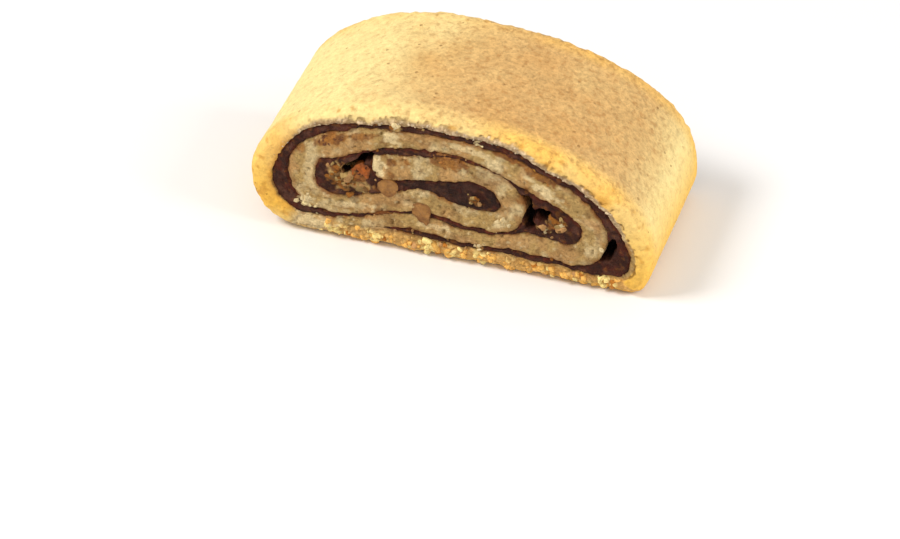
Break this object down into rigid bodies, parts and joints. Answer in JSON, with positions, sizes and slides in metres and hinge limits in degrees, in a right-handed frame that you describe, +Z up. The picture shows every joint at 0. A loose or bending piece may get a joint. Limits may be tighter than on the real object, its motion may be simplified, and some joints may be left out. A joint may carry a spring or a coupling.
{
  "type": "slice of rolled date and walnut maamoul",
  "caption": "Baked slice of a flattened semolina dough roll with a spiral of date paste and pieces of walnut at both cut faces.",
  "frame": {"origin": "centre of the bounding box on the plane that the slice rests on", "axes": "+X along the slice's width, to the right as the shown cut face is seen; -Y out of the shown cut face; +Z up"},
  "size_m": [0.0579, 0.0268, 0.0234],
  "materials": {
    "dough": "baked semolina crust, matte, with a paler crumb at the cut",
    "date_paste": "cut date paste, dark purple-brown, softly moist",
    "walnut": "cut pieces of walnut, tan to amber, slightly oily"
  },
  "bodies": {
    "root": {"dough": "dough", "date_paste": "date_paste", "walnut_front_1": "walnut", "walnut_front_2": "walnut", "walnut_front_3": "walnut", "walnut_front_4": "walnut", "walnut_front_5": "walnut", "walnut_front_6": "walnut", "walnut_front_7": "walnut", "walnut_front_8": "walnut", "walnut_front_9": "walnut", "walnut_front_10": "walnut", "walnut_front_11": "walnut", "walnut_front_12": "walnut", "walnut_back_1": "walnut", "walnut_back_2": "walnut", "walnut_back_3": "walnut", "walnut_back_4": "walnut", "walnut_back_5": "walnut", "walnut_back_6": "walnut", "walnut_back_7": "walnut"}
  },
  "joints": []
}
